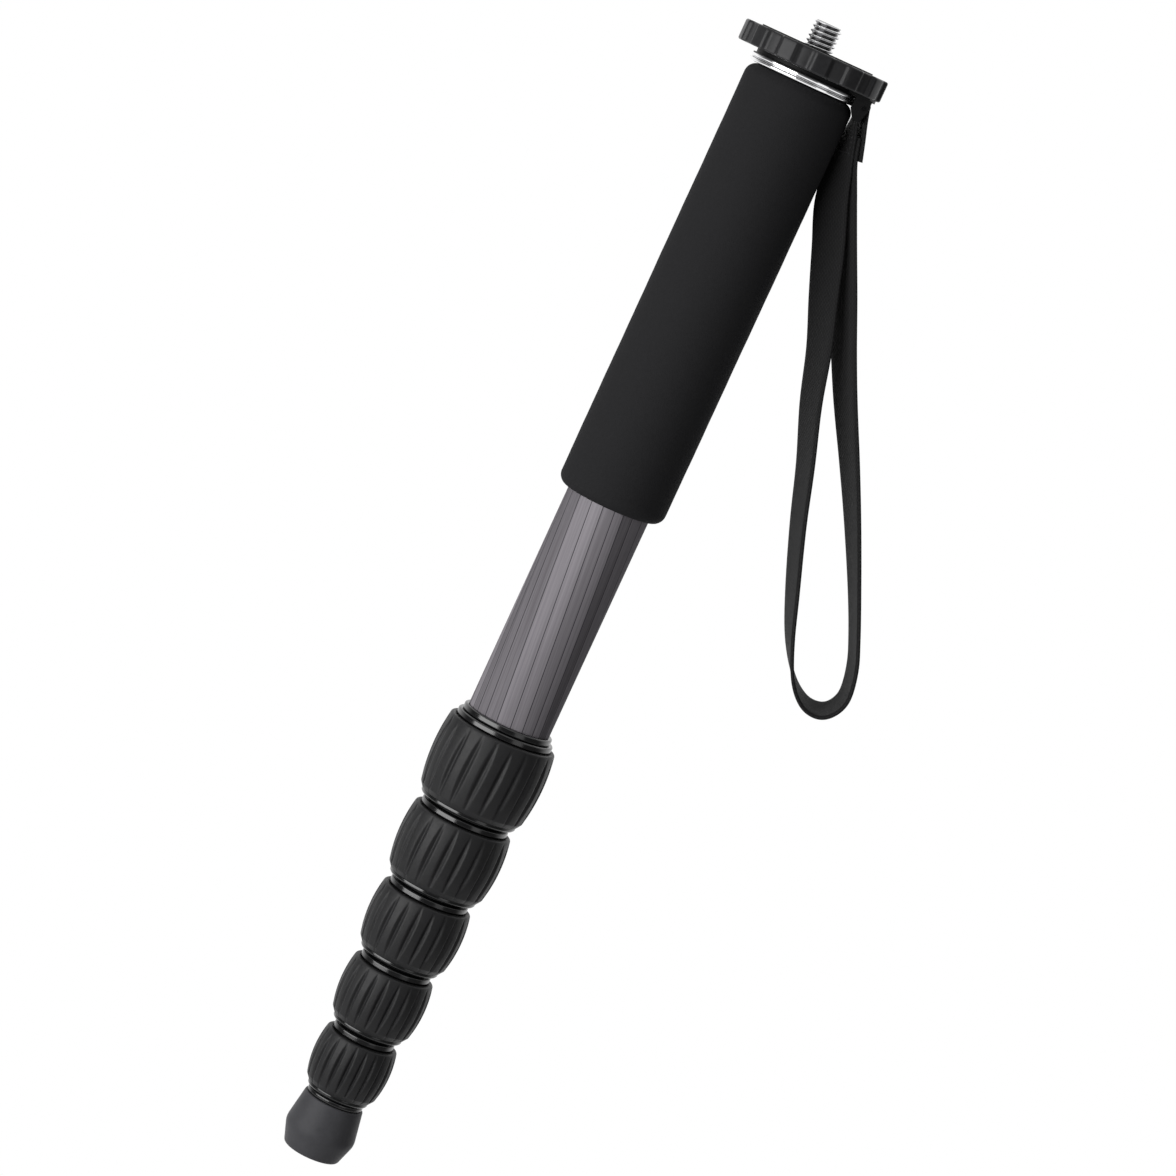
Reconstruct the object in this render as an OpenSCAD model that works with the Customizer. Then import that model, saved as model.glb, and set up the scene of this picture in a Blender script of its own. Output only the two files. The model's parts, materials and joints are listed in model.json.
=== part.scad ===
// Six-section camera monopod, folded, with twist locks, a foam grip and a wrist strap.
// Millimetres. Z runs up the axis; the origin is the middle of the face that the camera sits on.

/* [Camera platform] */
// How far the scalloped platform disc reaches out past the first tube
disc_reach = 10.6; // [9:0.1:16]
// Height of the platform disc
disc_h = 6.9; // [5:0.1:10]
// Number of finger scallops round the disc
scallop_count = 13; // [8:1:18]
// Depth of one scallop
scallop_depth = 1.0; // [0.4:0.1:1.6]
// Radius that a scallop is cut with
scallop_r = 7.0; // [4:0.1:8]
// Rounding of the disc's rim
disc_round = 1.0; // [0.4:0.1:2]
// Outer diameter of the rubber pad on the disc
pad_d = 38; // [32:0.5:42]
// Diameter of the hole in the pad
pad_hole_d = 16; // [13:0.5:17]
// Thickness of the pad
pad_t = 1.5; // [1:0.1:2.5]
// How far the pad stands above the disc
pad_proud = 0.4; // [0.1:0.05:0.8]
// Major diameter of the camera stud's thread
stud_d = 9.525; // [6.35:0.005:10]
// Height of the camera stud above the pad
stud_h = 8.5; // [5:0.1:12]
// Chamfer on the end of the stud
stud_chamfer = 0.8; // [0.3:0.1:1.5]
// Diameter of the stud's lower end, inside the head
stud_tail_d = 6.35; // [5:0.05:8]
// Length of the stud's lower end
stud_tail_l = 14; // [8:0.5:24]
// Radius of the circle that the platform screws stand on
screw_circle_r = 10.6; // [10.3:0.05:10.8]
// Number of platform screws
screw_count = 3; // [3:1:6]
// Diameter of a platform screw's shank
screw_d = 2.4; // [1.6:0.1:2.6]
// Diameter of a platform screw's head
screw_head_d = 4.4; // [3.6:0.1:4.6]
// Length of a platform screw
screw_l = 14; // [11:0.5:20]

/* [Neck] */
// Thickness of the black neck's lip outside the tube
neck_wall = 3.3; // [2.5:0.1:5]
// Height of the neck's visible lip
neck_lip_h = 1.3; // [0.8:0.1:1.6]
// Thickness of the neck's cap over the tube
neck_cap_t = 1.7; // [1.7:0.1:3]
// Wall of the neck's skirt round the tube
neck_skirt_t = 1.8; // [1.2:0.1:2.2]
// How far the polished trim ring stands out from the tube
trim_reach = 4.5; // [4:0.1:5]
// Height of the trim ring
trim_h = 3.1; // [2.2:0.1:5]
// Length of the plug inside the top of the first tube
plug_l = 30; // [24:1:40]

/* [Wrist strap] */
// Direction of the strap's lug round the neck, in degrees
lug_turn = 0; // [0:5:60]
// Distance of the strap's pin from the tube's wall
lug_reach = 6.8; // [6.7:0.1:7.2]
// Depth of the strap's pin below the camera's seat
lug_drop = 10.8; // [10.7:0.1:11.5]
// Thickness of the lug's plate
lug_plate_t = 1.0; // [0.6:0.1:1.2]
// Width of the lug's ears outside the pin's middle
lug_ear_r = 1.6; // [1.2:0.1:2]
// How far the ears reach in from the pin towards the neck
lug_ear_in = 3.8; // [2:0.1:3.9]
// How far the ears hang down below the pin
lug_ear_down = 4.6; // [1.8:0.1:6]
// Thickness of one ear
lug_ear_t = 1.4; // [1:0.1:2.5]
// Diameter of the strap's pin
pin_d = 1.6; // [1.2:0.1:1.7]
// Width of the webbing
strap_w = 15; // [10:0.5:15.5]
// Thickness of the webbing
strap_t = 1.2; // [0.6:0.05:1.25]
// Space for the webbing between the ears
lug_gap = 16.4; // [16:0.1:18]

/* [Grip and tubes] */
// Thickness of the foam grip
foam_wall = 4.25; // [3.9:0.05:4.75]
// Length of the foam grip
foam_l = 146.3; // [100:0.1:170]
// Rounding of the grip's ends
foam_round = 3.8; // [1:0.1:3.8]
// Outer diameter of the first tube
tube_d = 28; // [27:0.1:28.6]
// How much each tube is slimmer than the last
tube_step = 3; // [3:0.05:3.1]
// Wall of each tube
tube_wall = 1.0; // [0.8:0.05:1.0]
// Length of first tube that shows below the grip
tube_show = 77; // [20:0.5:120]
// Length of the slide bushing on top of each inner tube
bushing_l = 30; // [20:1:40]
// Running gap round each slide bushing
bushing_gap = 0.1; // [0.05:0.01:0.15]
// Width of the slit in each slide bushing
bushing_slit = 3; // [1:0.5:6]

/* [Twist locks] */
// Length of the first rubber sleeve
sleeve_1_l = 26.8; // [24:0.1:36]
// Length of the second rubber sleeve
sleeve_2_l = 23.7; // [21:0.1:34]
// Length of the third rubber sleeve
sleeve_3_l = 21.8; // [20:0.1:32]
// Length of the fourth rubber sleeve
sleeve_4_l = 20.8; // [19:0.1:30]
// Length of the fifth rubber sleeve
sleeve_5_l = 19.4; // [19:0.1:30]
// Height of the rubber's crest above the tube
sleeve_crest = 5.2; // [4.8:0.1:6]
// Height of the rubber's upper edge above the tube
sleeve_edge = 4.1; // [3.6:0.1:4.6]
// Height of the rubber's lower edge above the tube
sleeve_toe = 2.5; // [2.4:0.05:3]
// Length of the taper at the rubber's lower end
sleeve_taper = 2; // [1:0.1:4]
// How far down the sleeve its crest lies, as a share of its length
sleeve_crest_at = 0.44; // [0.38:0.01:0.5]
// Number of flutes round a sleeve
flute_count = 22; // [16:1:26]
// Depth of a flute
flute_depth = 0.75; // [0.4:0.05:1]
// Share of the space from flute to flute that a flute takes up
flute_share = 0.5; // [0.4:0.05:0.8]
// Height of one gloss ring of the ferrule
ring_h = 2.2; // [1.8:0.1:2.6]
// Rounding of the ferrule's rings
ring_round = 0.6; // [0.3:0.05:0.8]
// Height of the upper ring's crest above the tube
ring_1_rise = 1.3; // [1.1:0.05:1.4]
// Height of the lower ring's crest above the tube
ring_2_rise = 2.5; // [2:0.05:2.8]
// How much of the upper ring shows under the nut above it
ring_show = 0.7; // [0.4:0.1:1.2]
// Height of the nut's gloss lip under the rubber
lip_h = 1.2; // [0.8:0.1:2]
// Height of the lip's lower edge above the tube
lip_rise = 1.6; // [1.2:0.05:2]
// Length of the ferrule's threaded sleeve inside the nut
ferrule_l = 11.5; // [10.5:0.1:12]
// Wall of the ferrule's threaded sleeve outside the tube
ferrule_wall = 1.3; // [1:0.05:1.4]
// Wall of the nut outside its thread
nut_wall = 0.8; // [0.6:0.05:0.9]
// How deep the tube's end sits in the ferrule
tube_seat = 8; // [6:0.1:9]
// Length of the collet
collet_l = 7.2; // [5.5:0.1:7.3]
// Width of the collet's slit
collet_slit = 1.5; // [0.8:0.1:3]

/* [Foot] */
// Height of the gloss ring above the foot
foot_ring_h = 1.7; // [1:0.1:3]
// How far the gloss ring above the foot stands out from the last tube
foot_ring_reach = 3.1; // [2:0.1:3.5]
// How far the rubber foot's top stands out from the last tube
foot_top_reach = 3.6; // [3:0.1:4.5]
// How far the rubber foot's widest line stands out from the last tube
foot_max_reach = 5.55; // [4.5:0.05:7.5]
// How far the foot's flat sole stands out from the last tube
foot_sole_reach = 2.95; // [1:0.05:4]
// Height from the foot's sole to its widest line
foot_max_h = 7.6; // [4:0.1:10]
// Height of the rubber foot
foot_h = 19; // [16:0.1:26]
// How far the plug's flange in the foot stands out from the last tube
foot_flange_reach = 1.5; // [0.5:0.1:2]
// Thickness of the plug's flange
foot_flange_t = 1.5; // [1:0.1:3]
// Diameter of the foot's screw
foot_screw_d = 6; // [4:0.5:7]
// Length of the foot's screw
foot_screw_l = 9; // [6:0.5:10]
// Wall of the brass insert in the foot
insert_wall = 2; // [1:0.1:2.4]

/* [Hidden] */
$fn = 96;

// Gaps: bonded pieces, pieces that turn or slide, and ends that come to rest near each other
glue_gap = 0.02;
run_gap = 0.1;
guide_gap = 0.2;
end_gap = 0.3;

// Cutters pass the faces that they cut by this much
past = 1;

// Radius of the disc over its lobes; the stud's waist, and the hole in the disc round it
disc_r = tube_d / 2 + disc_reach;
waist_r = stud_d / 2 - stud_chamfer;
disc_bore_r = waist_r + glue_gap;

// Heights of the head, from the camera's seat down
disc_top = -pad_proud;
disc_bottom = disc_top - disc_h;
neck_lip_bottom = disc_bottom - neck_lip_h;
tube_top = disc_bottom - neck_cap_t;
trim_bottom = neck_lip_bottom - trim_h;
foam_bottom = trim_bottom - foam_l;
plug_bottom = tube_top - plug_l;

// The inner tubes all end this far under the head plug when the monopod is folded
nest_gap = 3;
nest_top = plug_bottom - nest_gap;

// Radii of the tubes, counted from 1, and of the neck round the first
function tube_r(k) = tube_d / 2 - (k - 1) * tube_step / 2;
neck_skirt_r = tube_r(1) + glue_gap + neck_skirt_t;
neck_r = tube_r(1) + neck_wall;
trim_r = tube_r(1) + trim_reach;
foam_r = tube_r(1) + foam_wall;
trim_bore_r = neck_skirt_r + glue_gap;

// Heights of the locks: each nut takes in part of the upper ring of the ferrule below it
sleeve_l = [0, sleeve_1_l, sleeve_2_l, sleeve_3_l, sleeve_4_l, sleeve_5_l];
lock_space = lip_h + end_gap + ring_show + ring_h;
function sleeve_top(k) =
    k == 1 ? foam_bottom - tube_show - 2 * ring_h : sleeve_bottom(k - 1) - lock_space;
function sleeve_bottom(k) = sleeve_top(k) - sleeve_l[k];
function nut_bottom(k) = sleeve_bottom(k) - lip_h;
foot_ring_top = nut_bottom(5) - end_gap;
foot_top = foot_ring_top - foot_ring_h;
foot_sole = foot_top - foot_h;
function tube_end(k) = k == 6 ? foot_top : sleeve_top(k) - tube_seat;

// Steps inside a lock: the ferrule's inner lip and mouth, the collet's cone, and the recess in
// the nut's lower end
stop_t = 1;
mouth_wall = 0.5;
cone_rise = 0.6;
cone_fall = 0.9;
cone_gap = 0.15;
core_rise = ferrule_wall + run_gap + nut_wall;
recess_rise = 0.15;
recess_depth = ring_h - ring_show;

// Bands that a sleeve's barrel is turned in
sleeve_bands = 8;

// Strap's pin: place, and the length between the outer faces of the ears
lug_r = tube_r(1) + lug_reach;
pin_at = [lug_r * cos(lug_turn), lug_r * sin(lug_turn), -lug_drop];
pin_l = lug_gap + 2 * lug_ear_t;
lug_plate_r = disc_r - scallop_depth - 0.2;

// Route of the webbing from the strap's pin, one point for each ring: across, back, up, and the
// turn of its front edge away from the loop. It runs from the sewn tail over the pin, down
// the inner leg, round the loop, up the outer leg and back between the layers of the tail.
strap_route = [
    [3.3, 0, -16, 25], [2.3, 0, -8.5, 14], [1.9, 0, -4.2, 6], [1.5, 0, -0.2, 0],
    [1.2, 0, 1.15, 0], [0, 0, 1.65, 0], [-1.2, 0, 1.15, 0], [-1.5, 0, -0.2, 0],
    [-1, 0, -4.6, -6], [-0.4, 0, -9, -14], [0.3, 0, -16, -25], [2.9, 0, -30, -43],
    [8.4, 0, -44.5, -43], [13.7, 0, -59.5, -37], [19.2, 0, -74.5, -31], [24.2, 0, -91.5, -26],
    [30.7, 0, -109.5, -21], [36.7, 0, -128, -18], [44, 0, -148, -15], [49.8, 0, -162.5, -9],
    [55.8, 0, -173, 0], [61.8, 0, -178.5, 7], [67.3, 0, -179.5, 11], [71.3, 0, -177, 11],
    [73.3, 0, -171.5, 11], [71.8, 0, -162.5, 11], [68.3, 0, -153.5, 11], [61.8, 0, -139.5, 13],
    [52.3, 0, -120.5, 18], [43.3, 0, -103.5, 23], [34, 0, -86.5, 28], [26.9, 0, -72.5, 31],
    [19.4, 0, -57, 35], [12, 0, -42, 38], [5.9, 0, -28, 34], [2, 0, -17.3, 26],
    [0.95, 0, -9, 15]
];

module pipe(r_in, r_out, low, high) {
    translate([0, 0, low]) difference() {
        cylinder(r = r_out, h = high - low);
        translate([0, 0, -past]) cylinder(r = r_in, h = high - low + 2 * past);
    }
}

// A ring on a tube, rounded at its outer corners, as a profile to turn
module ring_profile(r_in, r_out, low, high, corner) {
    translate([r_in, low + corner]) square([r_out - r_in, high - low - 2 * corner]);
    translate([r_in, low]) square([r_out - r_in - corner, high - low]);
    translate([r_out - corner, low + corner]) circle(corner);
    translate([r_out - corner, high - corner]) circle(corner);
}

// Lays its children's Z along the strap's pin
module along_pin() {
    translate(pin_at) rotate([0, 0, lug_turn]) rotate([90, 0, 0]) children();
}

module at_platform_screws() {
    for (i = [0:screw_count - 1]) rotate([0, 0, 90 + i * 360 / screw_count])
        translate([screw_circle_r, 0, 0]) children();
}

module camera_stud() {
    color("gainsboro") {
        translate([0, 0, -pad_proud]) cylinder(d = stud_d, h = stud_h + pad_proud - stud_chamfer);
        translate([0, 0, stud_h - stud_chamfer])
            cylinder(d1 = stud_d, d2 = stud_d - 2 * stud_chamfer, h = stud_chamfer);
        translate([0, 0, disc_bottom]) cylinder(r = waist_r, h = disc_h);
        translate([0, 0, disc_bottom - stud_tail_l]) cylinder(d = stud_tail_d, h = stud_tail_l);
    }
}

module platform_disc() {
    color([0.07, 0.07, 0.075]) difference() {
        rotate_extrude() ring_profile(disc_bore_r, disc_r, disc_bottom, disc_top, disc_round);
        for (i = [0:scallop_count - 1]) rotate([0, 0, (i + 0.5) * 360 / scallop_count])
            translate([disc_r - scallop_depth + scallop_r, 0, disc_bottom - past])
                cylinder(r = scallop_r, h = disc_h + 2 * past);
        pipe(pad_hole_d / 2, pad_d / 2 + glue_gap, -pad_t, past);
        at_platform_screws() screw_cut(glue_gap);
    }
}

module platform_pad() {
    color([0.05, 0.05, 0.05]) pipe(pad_hole_d / 2, pad_d / 2, -pad_t, 0);
}

// A countersunk screw whose head lies flush under the pad; grown by a gap it is its own hole
module screw_cut(gap) {
    head_h = (screw_head_d - screw_d) / 2;
    translate([0, 0, -pad_t - head_h])
        cylinder(d1 = screw_d + 2 * gap, d2 = screw_head_d + 2 * gap, h = head_h);
    translate([0, 0, -pad_t - screw_l - gap]) cylinder(d = screw_d + 2 * gap, h = screw_l + gap);
}

module platform_screws() {
    color("dimgray") at_platform_screws() screw_cut(0);
}

// Two tapered cheeks that hang from the lug's plate and hold the pin
module lug_ears() {
    top = lug_drop + disc_bottom - lug_plate_t / 2;
    for (side = [-1, 1]) translate([0, 0, side * (lug_gap + lug_ear_t) / 2])
        linear_extrude(lug_ear_t, center = true) polygon([
            [-lug_ear_in, top], [lug_ear_r, top], [lug_ear_r, -lug_ear_r / 2],
            [lug_ear_r / 4, -lug_ear_down], [-lug_ear_in / 2, -lug_ear_down], [-lug_ear_in, -lug_ear_down / 3]
        ]);
}

module neck_collar() {
    color([0.04, 0.04, 0.045]) difference() {
        union() {
            translate([0, 0, neck_lip_bottom]) cylinder(r = neck_r, h = neck_lip_h);
            translate([0, 0, trim_bottom]) cylinder(r = neck_skirt_r, h = disc_bottom - trim_bottom);
            intersection() {
                translate([0, 0, disc_bottom - lug_plate_t]) cylinder(r = lug_plate_r, h = lug_plate_t);
                rotate([0, 0, lug_turn]) translate([0, -pin_l / 2, disc_bottom - lug_plate_t - past])
                    cube([lug_plate_r + past, pin_l, lug_plate_t + 2 * past]);
            }
            along_pin() lug_ears();
        }
        translate([0, 0, trim_bottom - past])
            cylinder(r = tube_r(1) + glue_gap, h = tube_top - trim_bottom + past);
        translate([0, 0, tube_top - past])
            cylinder(d = stud_tail_d + 2 * glue_gap, h = neck_cap_t + 2 * past);
        at_platform_screws() screw_cut(glue_gap);
        along_pin() cylinder(r = pin_d / 2 + glue_gap, h = pin_l + 2 * past, center = true);
    }
}

module strap_pin() {
    color([0.1, 0.1, 0.1]) along_pin() cylinder(d = pin_d, h = pin_l, center = true);
}

module trim_ring() {
    ridge_r = trim_h / 4;
    color("silver") rotate_extrude() {
        translate([trim_bore_r, trim_bottom]) square([trim_r - ridge_r - trim_bore_r, trim_h]);
        for (step = [1, 3])
            translate([trim_r - ridge_r, trim_bottom + step * ridge_r]) circle(ridge_r);
    }
}

module head_plug() {
    color("darkgray") difference() {
        translate([0, 0, plug_bottom]) cylinder(r = tube_r(1) - tube_wall - glue_gap, h = plug_l);
        translate([0, 0, disc_bottom - stud_tail_l - end_gap])
            cylinder(d = stud_tail_d + 2 * glue_gap, h = stud_tail_l);
        at_platform_screws() screw_cut(glue_gap);
    }
}

// The rounding takes up most of the foam's wall, so the bore is cut after the profile is turned
module foam_grip() {
    bore_r = tube_r(1) + glue_gap;
    color([0.10, 0.10, 0.105]) difference() {
        rotate_extrude()
            ring_profile(bore_r - foam_round, foam_r, foam_bottom, trim_bottom, foam_round);
        translate([0, 0, foam_bottom - past]) cylinder(r = bore_r, h = foam_l + 2 * past);
    }
}

module tube(k) {
    color([0.22, 0.21, 0.24])
        pipe(tube_r(k) - tube_wall, tube_r(k), tube_end(k), k == 1 ? tube_top : nest_top);
}

// Thin split sleeve that guides an inner tube and stops it at the ferrule's lip
module bushing(k) {
    low = nest_top - bushing_l;
    color("ivory") difference() {
        pipe(tube_r(k) + glue_gap, tube_r(k - 1) - tube_wall - bushing_gap, low, nest_top);
        translate([0, -bushing_slit / 2, low - past])
            cube([tube_d, bushing_slit, bushing_l + 2 * past]);
    }
}

// Two gloss rings, a threaded sleeve that the nut runs on, and a lip under the tube's end
module ferrule(k) {
    r = tube_r(k);
    stop_r = tube_r(k + 1) + guide_gap;
    top = sleeve_top(k);
    color([0.03, 0.03, 0.035]) rotate_extrude() {
        ring_profile(r + glue_gap, r + ring_1_rise, top + ring_h, top + 2 * ring_h, ring_round);
        ring_profile(r + glue_gap, r + ring_2_rise, top, top + ring_h, ring_round);
        translate([r + glue_gap, top - ferrule_l])
            square([ferrule_wall - glue_gap, ferrule_l + ring_round]);
        translate([r + glue_gap, top + ring_h - ring_round])
            square([ring_1_rise - ring_round - glue_gap, 2 * ring_round]);
        translate([stop_r, top - tube_seat - stop_t]) square([r + ferrule_wall - stop_r, stop_t]);
        translate([r - mouth_wall, top - ferrule_l])
            square([mouth_wall + ferrule_wall, ferrule_l - tube_seat]);
    }
}

// Split ring that the nut's cone squeezes onto the next tube
module collet(k) {
    r = tube_r(k);
    bore = tube_r(k + 1) + run_gap;
    top = sleeve_top(k) - tube_seat - stop_t - end_gap;
    cone_top = sleeve_top(k) - ferrule_l - end_gap;
    low = top - collet_l;
    color("whitesmoke") difference() {
        rotate_extrude() polygon([
            [bore, top], [r - mouth_wall - run_gap, top], [r - mouth_wall - run_gap, cone_top],
            [r + cone_rise, cone_top], [r - cone_fall, low], [bore, low]
        ]);
        translate([0, -collet_slit / 2, low - past]) cube([tube_d, collet_slit, collet_l + 2 * past]);
    }
}

// Turning nut: thread bore, cone for the collet, guide for the next tube, and a gloss lip with a
// recess that takes in the upper ring of the ferrule below
module lock_nut(k) {
    r = tube_r(k);
    guide = tube_r(k + 1) + guide_gap;
    thread_r = r + ferrule_wall + run_gap;
    top = sleeve_top(k) - end_gap;
    rubber_low = sleeve_bottom(k);
    low = nut_bottom(k);
    recess_top = low + recess_depth;
    cone_top = sleeve_top(k) - ferrule_l - end_gap;
    cone_low = sleeve_top(k) - tube_seat - stop_t - 2 * end_gap - collet_l;
    color([0.05, 0.05, 0.055]) rotate_extrude() polygon([
        [r + core_rise, top], [r + core_rise, rubber_low], [r + sleeve_toe, rubber_low],
        [r + lip_rise, low], [r + recess_rise, low], [r + recess_rise, recess_top],
        [guide, recess_top], [guide, cone_low], [r - cone_fall + cone_gap, cone_low],
        [r + cone_rise + cone_gap, cone_top], [thread_r, cone_top], [thread_r, top]
    ]);
}

// The rubber's barrel swells along an arc from its upper edge to its crest, and on to its taper
module lock_barrel(k) {
    r = tube_r(k);
    high = sleeve_top(k);
    low = sleeve_bottom(k);
    swell = sleeve_crest - sleeve_edge;
    reach = sleeve_crest_at * sleeve_l[k];
    arc_r = (reach * reach + swell * swell) / (2 * swell);
    band = (sleeve_l[k] - sleeve_taper) / sleeve_bands;
    bore = r + core_rise + glue_gap;
    rotate_extrude() polygon(concat(
        [
            for (i = [0:sleeve_bands]) let (away = i * band - reach)
                [r + sleeve_crest - arc_r + sqrt(arc_r * arc_r - away * away), high - i * band]
        ],
        [[r + sleeve_toe, low], [bore, low], [bore, high]]
    ));
}

// The flutes are straight round cuts along the axis, so each one fades where the barrel draws in
module lock_grip(k) {
    crest_r = tube_r(k) + sleeve_crest;
    half_flute = flute_share * PI * crest_r / flute_count;
    cut_r = (half_flute * half_flute + flute_depth * flute_depth) / (2 * flute_depth);
    color([0.13, 0.13, 0.14]) difference() {
        lock_barrel(k);
        for (i = [0:flute_count - 1]) rotate([0, 0, (i + 0.5) * 360 / flute_count])
            translate([crest_r - flute_depth + cut_r, 0, sleeve_bottom(k) - past])
                cylinder(r = cut_r, h = sleeve_l[k] + 2 * past);
    }
}

// Plug in the last tube, with a flange under the tube's end and a screw for the foot
module foot_plug() {
    color("darkgray") {
        translate([0, 0, foot_top]) cylinder(r = tube_r(6) - tube_wall - glue_gap, h = plug_l);
        translate([0, 0, foot_top - foot_flange_t])
            cylinder(r = tube_r(6) + foot_flange_reach, h = foot_flange_t);
        translate([0, 0, foot_top - foot_flange_t - foot_screw_l])
            cylinder(d = foot_screw_d, h = foot_screw_l);
    }
}

module foot_insert() {
    top = foot_top - foot_flange_t;
    color("goldenrod")
        pipe(foot_screw_d / 2 + glue_gap, foot_screw_d / 2 + insert_wall, top - foot_screw_l, top);
}

module foot_ring() {
    color([0.03, 0.03, 0.035]) rotate_extrude()
        ring_profile(
            tube_r(6) + glue_gap, tube_r(6) + foot_ring_reach, foot_top, foot_ring_top, ring_round
        );
}

module rubber_foot() {
    r = tube_r(6);
    flange_r = r + foot_flange_reach + glue_gap;
    flange_low = foot_top - foot_flange_t;
    socket_r = foot_screw_d / 2 + insert_wall + glue_gap;
    socket_low = flange_low - foot_screw_l - end_gap;
    color([0.16, 0.16, 0.165]) rotate_extrude() polygon([
        [0, foot_sole], [r + foot_sole_reach, foot_sole], [r + foot_max_reach, foot_sole + foot_max_h],
        [r + foot_top_reach, foot_top], [flange_r, foot_top], [flange_r, flange_low],
        [socket_r, flange_low], [socket_r, socket_low], [0, socket_low]
    ]);
}

// Webbing: its section, with broken edges, is carried along the route and turned at each point
strap_edge = strap_t / 4;
strap_section = [
    for (side = [1, -1]) each [
        [side * strap_w / 2, side * strap_edge],
        [side * (strap_w / 2 - strap_edge), side * strap_t / 2],
        [-side * (strap_w / 2 - strap_edge), side * strap_t / 2],
        [-side * strap_w / 2, side * strap_edge]
    ]
];
function unit(v) = v / norm(v);
function place(i) = [strap_route[i][0], strap_route[i][1], strap_route[i][2]];
function heading(i) = unit(place(min(i + 1, len(strap_route) - 1)) - place(max(i - 1, 0)));
function strap_ring(i) =
    let (
        ahead = heading(i),
        inward = unit(cross(ahead, [0, 1, 0])),
        front = cross(inward, -ahead),
        turn = strap_route[i][3],
        edge = front * cos(turn) - inward * sin(turn),
        face = cross(edge, ahead)
    )
    [for (p = strap_section) place(i) + edge * p[0] + face * p[1]];

module wrist_strap() {
    sides = len(strap_section);
    last = len(strap_route) - 1;
    color([0.06, 0.06, 0.06]) translate(pin_at) polyhedron(
        points = [for (i = [0:last]) each strap_ring(i)],
        faces = concat(
            [[for (j = [0:sides - 1]) j]],
            [
                for (i = [0:last - 1], j = [0:sides - 1])
                    let (a = i * sides + j, b = i * sides + (j + 1) % sides)
                    each [[a, a + sides, b], [b, a + sides, b + sides]]
            ],
            [[for (j = [sides - 1:-1:0]) last * sides + j]]
        )
    );
}

camera_stud();
platform_disc();
platform_pad();
platform_screws();
neck_collar();
strap_pin();
trim_ring();
head_plug();
foam_grip();
for (k = [1:6]) tube(k);
for (k = [2:6]) bushing(k);
for (k = [1:5]) ferrule(k);
for (k = [1:5]) collet(k);
for (k = [1:5]) lock_nut(k);
for (k = [1:5]) lock_grip(k);
foot_plug();
foot_insert();
foot_ring();
rubber_foot();
wrist_strap();
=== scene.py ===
import json
import math
from functools import partial

import bmesh
import bpy
from mathutils import Matrix, Vector


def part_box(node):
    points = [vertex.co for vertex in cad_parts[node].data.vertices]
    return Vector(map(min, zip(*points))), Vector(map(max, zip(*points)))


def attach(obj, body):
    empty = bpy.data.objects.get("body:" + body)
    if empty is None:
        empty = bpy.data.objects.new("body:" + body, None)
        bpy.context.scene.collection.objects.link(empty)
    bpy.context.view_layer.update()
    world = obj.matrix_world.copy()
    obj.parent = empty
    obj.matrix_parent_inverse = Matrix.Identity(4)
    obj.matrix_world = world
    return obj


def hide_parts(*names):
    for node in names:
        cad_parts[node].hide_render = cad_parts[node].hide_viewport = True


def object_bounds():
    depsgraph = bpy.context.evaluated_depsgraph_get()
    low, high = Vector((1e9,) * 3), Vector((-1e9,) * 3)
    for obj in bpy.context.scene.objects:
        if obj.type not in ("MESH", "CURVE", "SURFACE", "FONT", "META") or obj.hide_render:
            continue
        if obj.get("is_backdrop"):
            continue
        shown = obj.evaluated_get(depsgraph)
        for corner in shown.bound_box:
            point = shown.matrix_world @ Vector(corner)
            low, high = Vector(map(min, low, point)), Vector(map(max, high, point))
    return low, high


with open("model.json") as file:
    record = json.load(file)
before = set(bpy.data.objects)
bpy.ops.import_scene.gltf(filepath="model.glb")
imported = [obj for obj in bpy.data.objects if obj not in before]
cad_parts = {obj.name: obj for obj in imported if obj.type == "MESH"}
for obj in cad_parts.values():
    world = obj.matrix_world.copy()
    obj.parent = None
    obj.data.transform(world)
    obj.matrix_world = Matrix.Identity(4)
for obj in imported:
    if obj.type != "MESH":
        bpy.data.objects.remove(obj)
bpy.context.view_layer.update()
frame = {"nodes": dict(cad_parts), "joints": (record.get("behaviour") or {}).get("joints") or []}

# Carbon tubes: six thin tubes, rolled from carbon tape and nested in one another. The tape is
# laid at a small angle to the axis, so its strands and the laps between its strips climb round
# the tube, under a satin lacquer.
MM = 0.001
TURN = 2 * math.pi
TUBES = 6
GRAIN_LOW, GRAIN_HIGH = 0.3, 0.7
carbon_dark = (0.078, 0.073, 0.080, 1)
carbon_light = (0.310, 0.292, 0.315, 1)
lap_dark = (0.030, 0.028, 0.032, 1)
lacquer_tint = (0.25, 0.25, 0.25, 1)
tape_climb = 6.2
strips_round = 22
strip_start = 34.80
strip_share, strand_share = 0.75, 0.25
strand_scale = 1500
strand_stretch = 0.012
lap_inner, lap_outer = 0.018, 0.055
lap_strength, lap_sink = 0.9, 0.6


def new_finish(name):
    made = bpy.data.materials.new(name)
    made.use_nodes = True
    tree = made.node_tree
    tree.nodes.clear()
    shader = tree.nodes.new("ShaderNodeBsdfPrincipled")
    tree.links.new(shader.outputs[0], tree.nodes.new("ShaderNodeOutputMaterial").inputs[0])
    return made, tree, shader


def feed(tree, socket, value):
    if isinstance(value, bpy.types.NodeSocket):
        tree.links.new(value, socket)
    else:
        socket.default_value = value


def sums(tree, operation, *values):
    node = tree.nodes.new("ShaderNodeMath")
    node.operation = operation
    for socket, value in zip(node.inputs, values):
        feed(tree, socket, value)
    return node.outputs[0]


def spread(tree, value, start, end, low=0.0, high=1.0, smooth=False):
    node = tree.nodes.new("ShaderNodeMapRange")
    node.interpolation_type = "SMOOTHSTEP" if smooth else "LINEAR"
    for socket, given in zip(node.inputs, (value, start, end, low, high)):
        feed(tree, socket, given)
    return node.outputs[0]


def parts_of(tree, vector):
    node = tree.nodes.new("ShaderNodeSeparateXYZ")
    tree.links.new(vector, node.inputs[0])
    return node.outputs


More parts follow.
